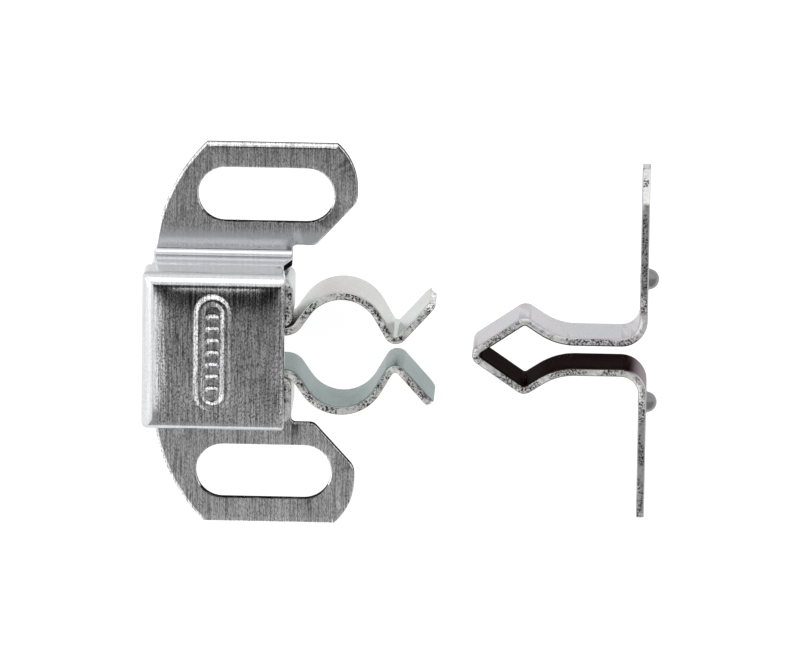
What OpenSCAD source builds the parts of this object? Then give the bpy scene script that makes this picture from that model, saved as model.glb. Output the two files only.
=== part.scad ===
// Double spring friction catch with its spear strike.
// The catch lies on its mounting face at z = 0, the strike faces it along +X
// and slides towards -X into the two spring leaves.

/* [Frame] */
// Height of the frame over both ears
frame_h = 38.8; // [32:0.1:48]
// Sheet thickness of the frame
frame_t = 0.75; // [0.6:0.05:0.95]
// Distance from the centre to the left edge of the frame
frame_left = 11.15; // [9:0.05:14]
// Distance from the centre to the right edge of an ear
ear_right = 9.12; // [7.6:0.01:11]
// Radius of the curved left side of an ear
ear_side_r = 17.6; // [15:0.1:22]
// Radius of the outer right corner of an ear
ear_corner_r = 6; // [4:0.1:6.2]
// Overall length of a screw slot
slot_len = 13.55; // [8:0.05:16.3]
// Width of a screw slot
slot_w = 5.45; // [3.5:0.05:6.6]

/* [Bridge] */
// Height of the top of the bridge above the mounting face
bridge_z = 5.9; // [4.5:0.1:7.1]
// Outside width of the bridge, riser to riser
bridge_w = 15.9; // [13.2:0.1:19.1]
// Right edge of the bridge from the centre
bridge_right = 2; // [1.6:0.05:2.4]
// How far the neck of an ear stands out past the bridge's right edge
neck_out = 0.7; // [0.5:0.05:0.9]
// Inside radius of the bend from an ear to its riser
foot_r = 0.67; // [0.3:0.01:0.85]
// Radius of the bosses that hold the spring clip
boss_r = 0.6; // [0.4:0.05:0.7]

/* [Cover] */
// Sheet thickness of the cover
cover_t = 0.6; // [0.4:0.05:0.75]
// Room between the spring's front edge and the inside of the cover's face
cover_room = 0.6; // [0.4:0.05:1]
// How far the cover's face reaches past the bridge's right edge
cover_out = 0.35; // [0.2:0.05:0.6]
// Outside radius of the cover's bent edges
cover_r = 1.3; // [0.8:0.05:1.6]
// Radius of the rolled right edge
cover_roll = 0.5; // [0.2:0.05:0.55]
// Distance from the ends of the raised bead to the bent edges
bead_margin = 0.85; // [0.5:0.05:2.5]
// Width of the raised bead across the face
bead_w = 3.4; // [2.6:0.1:4.5]
// Width of the bead's raised rim
bead_rim = 0.7; // [0.4:0.05:0.9]
// Height of the raised bead and of the ribs inside it
bead_h = 0.22; // [0.15:0.01:0.4]
// Number of plain ribs inside the bead
rib_count = 7; // [3:1:8]

/* [Spring] */
// Thickness of the spring strip
spring_t = 0.8; // [0.65:0.05:0.95]
// Width of the spring strip
spring_w = 8.1; // [6.7:0.1:9.8]
// Height of the spring's lower edge above the mounting face
spring_z = 1.2; // [1:0.1:1.5]
// Spacing of the leaves where they leave the clip, centre to centre
root_gap = 4.2; // [3.6:0.05:4.6]
// Spacing of the leaves at their widest, centre to centre
arch_gap = 11.66; // [10.6:0.02:12.4]
// Radius of a leaf's arch
arch_r = 4.2; // [3.9:0.05:4.6]
// Slope at which a leaf rises into its arch
rise_angle = 55; // [50:1:60]
// Slope at which a leaf falls to the throat
fall_angle = 60; // [54:1:66]
// Spacing of the leaves at the throat, centre to centre
throat_gap = 2.94; // [2.4:0.02:3.4]
// Radius of the bend at the throat
throat_r = 0.79; // [0.6:0.01:1]
// Slope of the lead-in lips
lip_angle = 48; // [35:1:55]
// Length of a lead-in lip
lip_len = 4.5; // [3:0.1:5.5]

/* [Strike] */
// Thickness of the strike strip
strike_t = 0.82; // [0.6:0.02:0.95]
// Width of the strike strip
strike_w = 7; // [5.8:0.1:8.4]
// Distance from the origin to the strike's nose
strike_nose_x = 20.9; // [20:0.1:30]
// Overall height of the spear head
head_h = 7.74; // [6.4:0.02:9.3]
// Overall height of the neck
neck_h = 3.88; // [3.4:0.02:4.4]
// Distance from the nose to the face that seats on the door
strike_len = 17.34; // [16:0.02:20]
// Slope of the spear's front faces
nose_angle = 34.3; // [30:0.1:38]
// Slope of the spear's rear faces
rear_angle = 33; // [28:1:36]
// Radius of the curve from the head into the neck
rear_r = 6.2; // [5:0.1:7]
// Radius of the bends into the ears
ear_bend_r = 2.22; // [1.6:0.02:2.6]
// Length of the upper ear above the spear's axis
upper_ear = 18.75; // [17.6:0.05:22]
// Length of the lower ear below the spear's axis
lower_ear = 16.8; // [15.6:0.05:20]
// Length of the clipped corners along an ear
clip_len = 3.15; // [1:0.05:3.3]
// Depth of the clipped corners across an ear
clip_w = 2.3; // [1:0.05:2.4]
// Diameter of the strike's screw holes
screw_d = 4.2; // [3:0.1:4.4]
// Spacing of the strike's screw holes
screw_spacing = 23.2; // [22:0.1:25]
// Height of the middle of the screw holes and nibs above the spear's axis
ear_centre = 1.05; // [0.5:0.05:1.5]
// Spacing of the domed locating nibs
nib_spacing = 12.5; // [12:0.1:14.5]
// Diameter of a locating nib
nib_d = 2.1; // [1.4:0.1:2.6]

/* [Hidden] */
$fn = 72;
far = 60;                                     // longer than any part
over = 1;                                     // how far a cut runs past what it cuts
bend_step = 5;                                // degrees of bend in one facet
skin = 0.05;                                  // gap between sheets that lie on each other
clear = 0.1;                                  // gap between parts that slide in beside each other
sink = 0.1;                                   // how far a raised bead roots in its face

half_frame = frame_h / 2;
riser_out = bridge_w / 2;
riser_in = riser_out - frame_t;
foot_start = riser_out + foot_r;              // where an ear starts to bend up
bridge_bend_r = 0.25;
neck_right = bridge_right + neck_out;
neck_r = 0.48;                                // fillet from the neck to the ear's inner edge
slope_drop = 1.2;                             // depth below the bridge where a riser's right end starts to slope
slope_lift = 0.5;                             // height above the foot bend where the slope ends
ear_inner = foot_start + neck_r;
side_y = foot_start - 1.72;                   // where the curved left side starts
corner_share = 0.75;                          // of the outer right corner's radius, before it meets the outer edge
corner_y = half_frame - corner_share * ear_corner_r;
slot_in = 0.1;                                // a slot's shift towards the bridge from the ear's middle
slot_y = (ear_inner + half_frame) / 2 - slot_in;
// the inner edge turns into a slope after this share of its length, and
// climbs this share of the way to the outer corner
slope_start = 0.306;
slope_rise = 0.776;
slope_x = neck_right + neck_r + slope_start * (ear_right - neck_right - neck_r);
slope_top = ear_inner + slope_rise * (corner_y - ear_inner);

cover_base = bridge_z + skin;
cover_half = riser_out;
cover_left = frame_left + clear + cover_t;
cover_right = bridge_right + cover_out;
cover_z = spring_z + spring_w + cover_room + cover_t;
bead_len = 2 * (cover_half - cover_r - bead_margin);
bead_x = (cover_right - cover_left) / 2;
rib_w = 0.4;
rib_len = bead_w - 2 * bead_rim - 2 * rib_w;
rib_pitch = (bead_len - 2 * bead_rim - bead_w / 2) / rib_count;
tab_w = 3;
tab_y = 3.6;
tab_reach = 1.5;

clip_body_z = bridge_z + clear;               // the clip's closed part stands on the bridge
clip_body_w = spring_z + spring_w - clip_body_z;
root_y = root_gap / 2;
hem_r = spring_t / 2 + 0.04;                  // folded hem behind each leaf
hem_x = 1.2;
pivot_x = 2.3;                                // where a leaf starts to flex
leaf_gap = 0.15;
leg_x = bridge_right + 0.25 + spring_t / 2;
leg_foot_r = 0.55;
leg_foot_y = root_y + 2 * hem_r;
leg_corner_r = 0.5;
clip_top_y = riser_out - max(frame_t, cover_t) - clear - spring_t / 2;
clip_back_x = 2 * clear - frame_left + spring_t / 2;
clip_back_r = 0.9;
notch_y = leg_foot_y + spring_t / 2 + 2 * clear;
notch_x = hem_x - hem_r - spring_t / 2 - 2 * clear;
step_room = 0.3;                              // room round the clip's narrow part where it passes the bridge
boss_gap = 0.15;
boss_x = bridge_right - skin - boss_r;
boss_y = clip_top_y - spring_t / 2 - boss_gap - boss_r;
root_bend_r = 1.6;
rise_len = (arch_gap / 2 - root_y - (arch_r + root_bend_r) * (1 - cos(rise_angle))) / sin(rise_angle);
fall_len = ((arch_gap - throat_gap) / 2 - (arch_r + throat_r) * (1 - cos(fall_angle))) / sin(fall_angle);

strike_z = spring_z + (spring_w - strike_w) / 2;
strike_mid_z = strike_z + strike_w / 2;
nose_r = 0.69;
shoulder_r = 0.75;
shoulder_y = (head_h - strike_t) / 2;
arm_y = (neck_h - strike_t) / 2;
nose_x = strike_nose_x + strike_t / 2;
front_len = (shoulder_y - shoulder_r * (1 - cos(nose_angle)) - nose_r * cos(nose_angle)) / sin(nose_angle);
rear_len = (shoulder_y - shoulder_r * (1 - cos(rear_angle)) - arm_y - rear_r * (1 - cos(rear_angle))) / sin(rear_angle);
arm_start = nose_x + nose_r * (1 - sin(nose_angle)) + front_len * cos(nose_angle)
    + shoulder_r * (sin(nose_angle) + sin(rear_angle)) + rear_len * cos(rear_angle) + rear_r * sin(rear_angle);
door_x = strike_nose_x + strike_len;
arm_len = door_x - strike_t / 2 - ear_bend_r - arm_start;
ear_start = arm_y + ear_bend_r;

// Points of an arc about c, from angle a0 to a1
function arc(c, r, a0, a1, n = 16) =
    [for (i = [0 : n]) c + r * [cos(a0 + (a1 - a0) * i / n), sin(a0 + (a1 - a0) * i / n)]];

// One side of a bent strip, from p at heading a. A segment is [length, 0] when
// straight, or [angle, radius] for a bend, left when the angle is positive
function strip_side(segments, offset, p = [0, 0], a = 0, i = 0) =
    i == len(segments) ? [] :
    let (
        size = segments[i][0],
        r = segments[i][1],
        turn = r == 0 ? 0 : sign(size),
        n = ceil(abs(size) / bend_step),
        centre = p + turn * r * [-sin(a), cos(a)],
        end_a = r == 0 ? a : a + size,
        end_p = r == 0 ? p + size * [cos(a), sin(a)] : centre - turn * r * [-sin(end_a), cos(end_a)])
    concat(
        r == 0
            ? [end_p + offset * [-sin(a), cos(a)]]
            : [for (k = [1 : n]) let (b = a + size * k / n) centre - turn * (r - turn * offset) * [-sin(b), cos(b)]],
        strip_side(segments, offset, end_p, end_a, i + 1));

function reversed(points) = [for (i = [len(points) - 1 : -1 : 0]) points[i]];

// A bent strip of thickness t and width w
module strip(segments, t, w) {
    linear_extrude(w) polygon(concat(
        [[0, t / 2]], strip_side(segments, t / 2),
        reversed(strip_side(segments, -t / 2)),
        [[0, -t / 2]]));
}

module both_sides() {
    children();
    mirror([0, 1, 0]) children();
}

module slot(length, width, h) {
    for (x = [-1, 1]) translate([x * (length - width) / 2, 0, 0]) cylinder(d = width, h = h);
    translate([-(length - width) / 2, -width / 2, 0]) cube([length - width, width, h]);
}

// Flat outline of the upper ear, from its foot bend outwards
module ear_outline(foot_y) {
    side_c = [ear_side_r - frame_left, side_y];
    corner_c = [ear_right - ear_corner_r, corner_y];
    side_end = acos((half_frame - side_y) / ear_side_r) + 90;
    corner_end = asin((half_frame - corner_y) / ear_corner_r);
    foot_angle = 180 - asin((foot_y - side_y) / ear_side_r);
    polygon(concat(
        [[neck_right, foot_y], [neck_right, ear_inner - neck_r]],
        arc([neck_right + neck_r, ear_inner - neck_r], neck_r, 180, 90, 6),
        [[slope_x, ear_inner], [ear_right, slope_top]],
        arc(corner_c, ear_corner_r, 0, corner_end, 14),
        arc(side_c, ear_side_r, side_end, foot_angle, 24)));
}

module frame() {
    mid_r = foot_r + frame_t / 2;
    top_r = bridge_bend_r + frame_t / 2;
    riser_len = bridge_z - frame_t - mid_r - top_r;
    slope_end = frame_t + foot_r + slope_lift;
    color("silver") difference() {
        union() {
            both_sides() {
                linear_extrude(frame_t) ear_outline(foot_start);
                translate([neck_right, foot_start, frame_t / 2]) rotate([90, 0, -90])
                    strip([[90, mid_r], [riser_len, 0], [-90, top_r], [riser_out - frame_t / 2 - top_r, 0]],
                        frame_t, neck_right + frame_left);
                translate([boss_x, boss_y, bridge_z - frame_t / 2])
                    cylinder(r = boss_r, h = frame_t / 2 + clip_body_w - step_room);
            }
        }
        both_sides() translate([0, slot_y, -over]) slot(slot_len, slot_w, frame_t + 2 * over);
        // the risers' right ends slope back under the spring's legs
        translate([0, far / 2, 0]) rotate([90, 0, 0]) linear_extrude(far)
            polygon([[bridge_right, bridge_z + over], [bridge_right, bridge_z - slope_drop],
                [neck_right, slope_end], [neck_right + over, slope_end], [neck_right + over, bridge_z + over]]);
        translate([notch_x, -notch_y, slope_end]) cube([far, 2 * notch_y, bridge_z]);
    }
}

// Side view of a sheet with rounded top corners
module arched(x0, x1, z0, z1, r0, r1) {
    difference() {
        translate([x0, z0]) square([x1 - x0, z1 - z0]);
        translate([x0, z1 - r0]) difference() {
            translate([-over, 0]) square(r0 + over);
            translate([r0, 0]) circle(r0);
        }
        translate([x1 - r1, z1 - r1]) difference() {
            square(r1 + over);
            circle(r1);
        }
    }
}

module cover_block(inset, right, base, right_r) {
    r = cover_r - inset;
    top = cover_z - inset;
    intersection() {
        rotate([90, 0, 90]) translate([0, 0, -far / 2]) linear_extrude(far)
            arched(-cover_half + inset, cover_half - inset, base, top, r, r);
        rotate([90, 0, 0]) translate([0, 0, -far / 2]) linear_extrude(far)
            arched(-cover_left + inset, right, base, top, r, right_r);
    }
}

module cover() {
    tab_z = bridge_z - frame_t - skin - cover_t;
    color("gainsboro") {
        difference() {
            cover_block(0, cover_right, cover_base, cover_roll);
            cover_block(cover_t, cover_right + over, cover_base - over, skin);
        }
        // two tabs fold under the bridge's left edge
        both_sides() translate([-cover_left, tab_y - tab_w / 2, tab_z]) {
            cube([cover_t, tab_w, cover_base + cover_t - tab_z]);
            cube([cover_left - frame_left + tab_reach, tab_w, cover_t]);
        }
        // plain oblong bead round a row of ribs
        translate([bead_x, 0, cover_z - sink]) {
            rotate(90) difference() {
                slot(bead_len, bead_w, bead_h + sink);
                translate([0, 0, -over]) slot(bead_len - 2 * bead_rim, bead_w - 2 * bead_rim, bead_h + 2 * over);
            }
            for (i = [0 : rib_count - 1]) translate([0, (i - (rib_count - 1) / 2) * rib_pitch, 0])
                slot(rib_len, rib_w, bead_h + sink);
        }
    }
}

module spring_clip() {
    root_x = pivot_x - spring_t / 2 - leaf_gap;
    leg_len = clip_top_y - leg_corner_r - leg_foot_y - leg_foot_r;
    top_len = leg_x - leg_corner_r - clip_back_x - clip_back_r;
    hem = [[root_x - hem_x, 0], [-180, hem_r], [leg_x - leg_foot_r - hem_x, 0]];
    leg = [[90, leg_foot_r], [leg_len, 0], [90, leg_corner_r]];
    back = [[top_len, 0], [90, clip_back_r], [2 * (clip_top_y - clip_back_r), 0], [90, clip_back_r], [top_len, 0]];
    color("lightsteelblue") difference() {
        translate([root_x, root_y, spring_z]) rotate(180)
            strip(concat(hem, leg, back, reversed(leg), reversed(hem)), spring_t, spring_w);
        // the closed part is narrower, to lie between the bridge and the cover
        translate([-far, -far / 2, 0]) cube([far + notch_x - step_room, far, clip_body_z]);
        both_sides() translate([-far, notch_y + step_room, 0]) cube([far + leg_x - leg_corner_r, far, clip_body_z]);
    }
}

module leaf() {
    translate([pivot_x, root_y, spring_z]) {
        cylinder(d = spring_t, h = spring_w);
        strip([[rise_angle, root_bend_r], [rise_len, 0], [-rise_angle - fall_angle, arch_r],
            [fall_len, 0], [fall_angle + lip_angle, throat_r], [lip_len, 0]], spring_t, spring_w);
    }
}

module upper_leaf() {
    color("lightgrey") leaf();
}

module lower_leaf() {
    color("lightgrey") mirror([0, 1, 0]) leaf();
}

module strike() {
    head = [[rear_len, 0], [rear_angle + nose_angle, shoulder_r], [front_len, 0]];
    arm = [[-90, ear_bend_r], [arm_len, 0], [-rear_angle, rear_r]];
    path = concat([[upper_ear - ear_start, 0]], arm, head, [[180 - 2 * nose_angle, nose_r]],
        reversed(head), reversed(arm), [[lower_ear - ear_start, 0]]);
    color("darkgrey") difference() {
        union() {
            translate([door_x - strike_t / 2, upper_ear, strike_z]) rotate(-90) strip(path, strike_t, strike_w);
            for (side = [-1, 1]) translate([door_x, ear_centre + side * nib_spacing / 2, strike_mid_z])
                sphere(d = nib_d);
        }
        for (side = [-1, 1])
            translate([door_x - strike_t - over, ear_centre + side * screw_spacing / 2, strike_mid_z])
                rotate([0, 90, 0]) cylinder(d = screw_d, h = strike_t + 2 * over);
        ear_corners(upper_ear);
        mirror([0, 1, 0]) ear_corners(lower_ear);
    }
}

// What is clipped off the two corners of an ear
module ear_corners(length) {
    half_w = strike_w / 2;
    for (side = [0, 1]) translate([door_x - strike_t - over, length, strike_mid_z]) rotate([90, 0, 90])
        mirror([0, side]) linear_extrude(strike_t + 2 * over)
            polygon([[-clip_len, half_w], [0, half_w - clip_w], [over, half_w - clip_w],
                [over, half_w + over], [-clip_len, half_w + over]]);
}

frame();
cover();
spring_clip();
upper_leaf();
lower_leaf();
strike();
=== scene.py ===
import math
import bmesh
import bpy
import numpy as np
from mathutils import Matrix, Vector
from mathutils.geometry import delaunay_2d_cdt


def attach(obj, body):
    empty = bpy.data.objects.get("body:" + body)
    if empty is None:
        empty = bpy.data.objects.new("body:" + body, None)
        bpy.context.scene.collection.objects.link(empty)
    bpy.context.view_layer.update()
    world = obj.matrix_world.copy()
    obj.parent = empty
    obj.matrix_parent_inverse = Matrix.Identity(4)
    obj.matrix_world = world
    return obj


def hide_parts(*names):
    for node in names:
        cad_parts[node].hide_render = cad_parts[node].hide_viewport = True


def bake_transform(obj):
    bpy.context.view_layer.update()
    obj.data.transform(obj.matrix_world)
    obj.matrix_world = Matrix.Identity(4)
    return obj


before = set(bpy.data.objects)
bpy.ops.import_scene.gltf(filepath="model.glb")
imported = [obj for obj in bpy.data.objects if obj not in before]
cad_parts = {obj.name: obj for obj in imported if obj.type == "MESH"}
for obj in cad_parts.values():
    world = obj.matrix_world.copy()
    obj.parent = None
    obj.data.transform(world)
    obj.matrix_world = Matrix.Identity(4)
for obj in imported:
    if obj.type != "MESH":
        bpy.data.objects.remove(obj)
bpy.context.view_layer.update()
print("catch and strike: CAD parts loaded")

millimetre = 0.001
bendStep = 3.0           # degrees between two fold lines of a bend
arcStep = 9.0            # degrees between two points of a rounded corner
mergeDistance = 1e-4     # in the millimetres that the blanks are drawn in
tiny = 1e-6


def addObject(name, data):
    obj = bpy.data.objects.new(name, data)
    bpy.context.collection.objects.link(obj)
    return obj


def addMesh(name, bm):
    mesh = bpy.data.meshes.new(name)
    bm.to_mesh(mesh)
    bm.free()
    return addObject(name, mesh)


# outlines and paths, in millimetres

def arcPoints(centre, radius, start, end, count=12):
    angles = np.radians(np.linspace(start, end, count + 1))
    return [(centre[0] + radius * math.cos(a), centre[1] + radius * math.sin(a)) for a in angles]


def filletLoop(corners):
    # corners are (x, y, radius); each one is rounded off
    loop = []
    total = len(corners)
    for i, (x, y, radius) in enumerate(corners):
        here = np.array([x, y])
        before = np.array(corners[i - 1][:2]) - here
        after = np.array(corners[(i + 1) % total][:2]) - here
        before = before / np.linalg.norm(before)
        after = after / np.linalg.norm(after)
        inner = math.acos(np.clip(np.dot(before, after), -1, 1))
        if radius <= 0 or inner > math.radians(178):      # square or nearly straight
            loop.append((x, y))
            continue
        reach = radius / math.tan(inner / 2)
        centre = here + (before + after) / np.linalg.norm(before + after) * radius / math.sin(inner / 2)
        first = here + before * reach - centre
        last = here + after * reach - centre
        a0 = math.atan2(first[1], first[0])
        turn = (math.atan2(last[1], last[0]) - a0 + math.pi) % (2 * math.pi) - math.pi
        steps = max(3, int(math.degrees(abs(turn)) / arcStep))
        for k in range(steps + 1):
            a = a0 + turn * k / steps
            loop.append((centre[0] + radius * math.cos(a), centre[1] + radius * math.sin(a)))
    return loop


def slotLoop(centreX, centreY, lengthX, lengthY):
    # a long hole, run clockwise so that the metal is on its left
    x, y = lengthX / 2, lengthY / 2
    r = min(x, y) - 0.01                    # just less than a half circle, so two corners don't meet
    return filletLoop([(centreX + a, centreY + b, r) for a, b in ((-x, -y), (-x, y), (x, y), (x, -y))])


def densify(loop, longest):
    result = []
    for i, p in enumerate(loop):
        q = loop[(i + 1) % len(loop)]
        steps = max(1, math.ceil(math.dist(p, q) / longest))
        for k in range(steps):
            result.append((p[0] + (q[0] - p[0]) * k / steps, p[1] + (q[1] - p[1]) * k / steps))
    return result


def followPath(segments, start=(0, 0), heading=0.0):
    # segments are (length, 0) for a straight run and (angle, radius) for a bend, left when positive
    points, lengths = [np.array(start, float)], [0.0]
    foldLines = []
    for size, radius in segments:
        at = points[-1]
        if radius == 0:
            points.append(at + size * np.array([math.cos(heading), math.sin(heading)]))
            lengths.append(lengths[-1] + size)
            continue
        side = math.copysign(1, size)
        centre = at + side * radius * np.array([-math.sin(heading), math.cos(heading)])
        steps = math.ceil(abs(size) / bendStep)
        base = lengths[-1]
        for k in range(1, steps + 1):
            a = heading + math.radians(size) * k / steps
            points.append(centre - side * radius * np.array([-math.sin(a), math.cos(a)]))
            lengths.append(lengths[-1] + float(np.linalg.norm(points[-1] - points[-2])))
        foldLines += [base] + lengths[-steps:]
        heading += math.radians(size)
    return points, lengths, foldLines


# sheet metal: a flat blank with rounded rims, folded along a path by Geometry Nodes

def insetLoop(loop, amount):
    # moves a loop towards the metal on its left by one amount, or by one amount for each point
    pts = np.array(loop)
    amounts = np.broadcast_to(np.asarray(amount, float), (len(pts),))
    ahead = np.roll(pts, -1, axis=0) - pts
    ahead /= np.linalg.norm(ahead, axis=1)[:, None]
    behind = np.roll(ahead, 1, axis=0)
    normal = np.stack([-(ahead + behind)[:, 1], (ahead + behind)[:, 0]], 1)
    normal /= np.linalg.norm(normal, axis=1)[:, None]
    mitre = np.clip((normal * np.stack([-ahead[:, 1], ahead[:, 0]], 1)).sum(1), 0.5, 1)
    return pts + normal * (amounts / mitre)[:, None]


def isInside(point, loop):
    inside = False
    for a, b in zip(loop, np.roll(loop, -1, axis=0)):
        if (a[1] > point[1]) != (b[1] > point[1]):
            if point[0] < a[0] + (b[0] - a[0]) * (point[1] - a[1]) / (b[1] - a[1]):
                inside = not inside
    return inside


def flatBlank(name, loops, thickness, rim, foldLines, wideRim=None):
    # the first loop is the outline, anticlockwise; the others are holes, clockwise
    bm = bmesh.new()
    finish = bm.faces.layers.int.new("finish")
    rollSteps, burrSteps = 5, 2
    ringSets = []
    for loop in loops:
        pts = np.array(loop)
        rims = [wideRim(p) if wideRim else (rim["rollWidth"], rim["rollDepth"], 0) for p in loop]
        # the rim's torn steps take the cut edge finish, which on the frame is painted shade
        widths, depths, torn = np.array(rims).T
        rings = []
        for k in range(rollSteps + 1):
            a = math.pi / 2 * k / rollSteps
            rings.append((insetLoop(pts, widths * (1 - math.sin(a))),
                          thickness / 2 - depths * (1 - math.cos(a)), 0))
        for k in range(burrSteps + 1):
            a = math.pi / 2 * (1 - k / burrSteps)
            rings.append((insetLoop(pts, rim["burr"] * (1 - math.sin(a))),
                          np.full(len(pts), -thickness / 2 + rim["burr"] * (1 - math.cos(a))), 2))
        ringSets.append(rings)
        verts = [[bm.verts.new((p[0], p[1], w)) for p, w in zip(xy, np.broadcast_to(ws, (len(xy),)))]
                 for xy, ws, _ in rings]
        count = len(pts)
        for r in range(len(rings) - 1):
            for i in range(count):
                j = (i + 1) % count
                part = 2 if r > rollSteps else 0
                if rollSteps - torn[i] <= r <= rollSteps:
                    part = 3 if loop is not loops[0] else 1
                face = bm.faces.new((verts[r][i], verts[r + 1][i], verts[r + 1][j], verts[r][j]))
                face[finish] = part
    for which, height, part in ((0, thickness / 2, 0), (-1, -thickness / 2, 2)):
        flat, edges = [], []
        for rings in ringSets:
            base = len(flat)
            xy = rings[which][0]
            flat += [Vector(p) for p in xy]
            edges += [(base + i, base + (i + 1) % len(xy)) for i in range(len(xy))]
        points, _, triangles, *_ = delaunay_2d_cdt(flat, edges, [], 1, tiny)
        made = [bm.verts.new((p[0], p[1], height)) for p in points]
        for t in triangles:
            middle = sum((points[i] for i in t), Vector((0, 0))) / 3
            if any(isInside(middle, rings[which][0]) for rings in ringSets[1:]):
                continue
            face = bm.faces.new([made[i] for i in (t if part == 0 else reversed(t))])
            face[finish] = part
    bmesh.ops.remove_doubles(bm, verts=bm.verts, dist=mergeDistance)
    for u in foldLines:
        bmesh.ops.bisect_plane(bm, geom=bm.verts[:] + bm.edges[:] + bm.faces[:], dist=mergeDistance,
                               plane_co=(u, 0, 0), plane_no=(1, 0, 0))
    bmesh.ops.triangulate(bm, faces=[f for f in bm.faces if len(f.verts) > 4])
    bmesh.ops.recalc_face_normals(bm, faces=bm.faces)
    bmesh.ops.scale(bm, verts=bm.verts, vec=(millimetre,) * 3)
    return addMesh(name, bm)


def wireUp(tree, wires):
    for source, out, target, socket in wires:
        tree.links.new(source.outputs[out], target.inputs[socket])


def addInputs(tree, sockets):
    for label, kind in sockets:
        tree.interface.new_socket(label, in_out="INPUT", socket_type="NodeSocket" + kind)
    tree.interface.new_socket("Geometry", in_out="OUTPUT", socket_type="NodeSocketGeometry")


def makeFoldTree():
    # a blank's x runs along the path, y across it and z through the sheet
    tree = bpy.data.node_groups.new("foldSheetAlongPath", "GeometryNodeTree")
    finishes = ("Face finish", "Cut edge finish", "Back finish", "Hole finish")
    addInputs(tree, [("Blank", "Geometry"), ("Path", "Object"), ("Across", "Vector")]
              + [(label, "Material") for label in finishes])
    new = tree.nodes.new
    start, end = new("NodeGroupInput"), new("NodeGroupOutput")
    pathInfo, sample = new("GeometryNodeObjectInfo"), new("GeometryNodeSampleCurve")
    sample.mode = "LENGTH"
    place, split = new("GeometryNodeInputPosition"), new("ShaderNodeSeparateXYZ")
    through, offset, across, total, sideways = (new("ShaderNodeVectorMath") for _ in range(5))
    through.operation = "CROSS_PRODUCT"
    offset.operation = across.operation = "SCALE"
    move, smooth, flip = (new("GeometryNodeSetPosition"), new("GeometryNodeSetShadeSmooth"),
                          new("GeometryNodeFlipFaces"))
    wireUp(tree, [(start, "Path", pathInfo, "Object"), (pathInfo, "Geometry", sample, "Curves"),
                  (place, "Position", split, 0), (split, "X", sample, "Length"),
                  (start, "Across", through, 0), (sample, "Tangent", through, 1),
                  (through, "Vector", offset, 0), (split, "Z", offset, "Scale"),
                  (start, "Across", across, 0), (split, "Y", across, "Scale"),
                  (offset, "Vector", sideways, 0), (across, "Vector", sideways, 1),
                  (sample, "Position", total, 0), (sideways, "Vector", total, 1),
                  (start, "Blank", move, "Geometry"), (total, "Vector", move, "Position"),
                  (move, "Geometry", flip, "Mesh"), (flip, "Mesh", smooth, "Geometry")])
    realize = new("GeometryNodeRealizeInstances")
    wireUp(tree, [(smooth, "Geometry", realize, "Geometry")])
    last = realize
    for value, label in enumerate(finishes):
        kind, same, paint = (new("GeometryNodeInputNamedAttribute"), new("FunctionNodeCompare"),
                             new("GeometryNodeSetMaterial"))
        kind.data_type = same.data_type = "INT"
        kind.inputs["Name"].default_value = "finish"
        same.operation = "EQUAL"
        numbers = [s for s in same.inputs if s.type == "INT"]
        tree.links.new([s for s in kind.outputs if s.type == "INT"][0], numbers[0])
        numbers[1].default_value = value
        wireUp(tree, [(same, "Result", paint, "Selection"), (last, "Geometry", paint, "Geometry"),
                      (start, label, paint, "Material")])
        last = paint
    wireUp(tree, [(last, "Geometry", end, "Geometry")])
    return tree


def setInputs(modifier, values):
    names = {s.name: s.identifier for s in modifier.node_group.interface.items_tree
             if s.item_type == "SOCKET" and s.in_out == "INPUT"}
    for label, value in values.items():
        modifier[names[label]] = value


def bakeObject(obj, name):
    # the evaluated shape becomes a plain mesh with no modifiers left
    dg = bpy.context.evaluated_depsgraph_get()
    dg.update()
    source = obj.evaluated_get(dg)
    mesh = bpy.data.meshes.new_from_object(source, preserve_all_data_layers=True, depsgraph=dg)
    mesh.name = name
    piece = addObject(name, mesh)
    bpy.data.objects.remove(obj)
    return piece


foldTree = makeFoldTree()


def foldSheet(name, blank, points3d, across, finishes):
    curve = bpy.data.curves.new(name + "Path", "CURVE")
    curve.dimensions = "3D"
    spline = curve.splines.new("POLY")
    spline.points.add(len(points3d) - 1)
    for target, p in zip(spline.points, points3d):
        target.co = (*[c * millimetre for c in p], 1)
    path = addObject(name + "Path", curve)
    fold = blank.modifiers.new("fold", "NODES")
    fold.node_group = foldTree
    setInputs(fold, {"Path": path, "Across": across, "Face finish": finishes[0],
                     "Cut edge finish": finishes[1], "Back finish": finishes[2],
                     "Hole finish": finishes[-1]})
    weigh = blank.modifiers.new("weigh", "WEIGHTED_NORMAL")
    weigh.keep_sharp = True
    piece = bakeObject(blank, name)
    bpy.data.objects.remove(path)
    return piece


def joinMeshes(name, objects):
    bpy.ops.object.select_all(action="DESELECT")
    for obj in objects:
        obj.select_set(True)
    bpy.context.view_layer.objects.active = objects[0]
    bpy.ops.object.join()
    objects[0].name = objects[0].data.name = name
    return objects[0]


# finishes

def setSockets(node, values):
    for socket, value in values.items():
        node.inputs[socket].default_value = value


def ramp(nodes, stops):
    node = nodes.new("ShaderNodeValToRGB")
    elements = node.color_ramp.elements
    while len(elements) < len(stops):
        elements.new(0.5)
    for element, (place, shade) in zip(elements, stops):
        element.position = place
        element.color = (*shade, 1) if len(shade) == 3 else shade
    return node


def noiseNode(nodes, links, coords, scale, detail, rough=0.55):
    mapping = nodes.new("ShaderNodeMapping")
    setSockets(mapping, {"Scale": scale})
    links.new(coords.outputs["Object"], mapping.inputs["Vector"])
    noise = nodes.new("ShaderNodeTexNoise")
    setSockets(noise, {"Scale": 1.0, "Detail": detail, "Roughness": rough})
    links.new(mapping.outputs["Vector"], noise.inputs["Vector"])
    return noise


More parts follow.
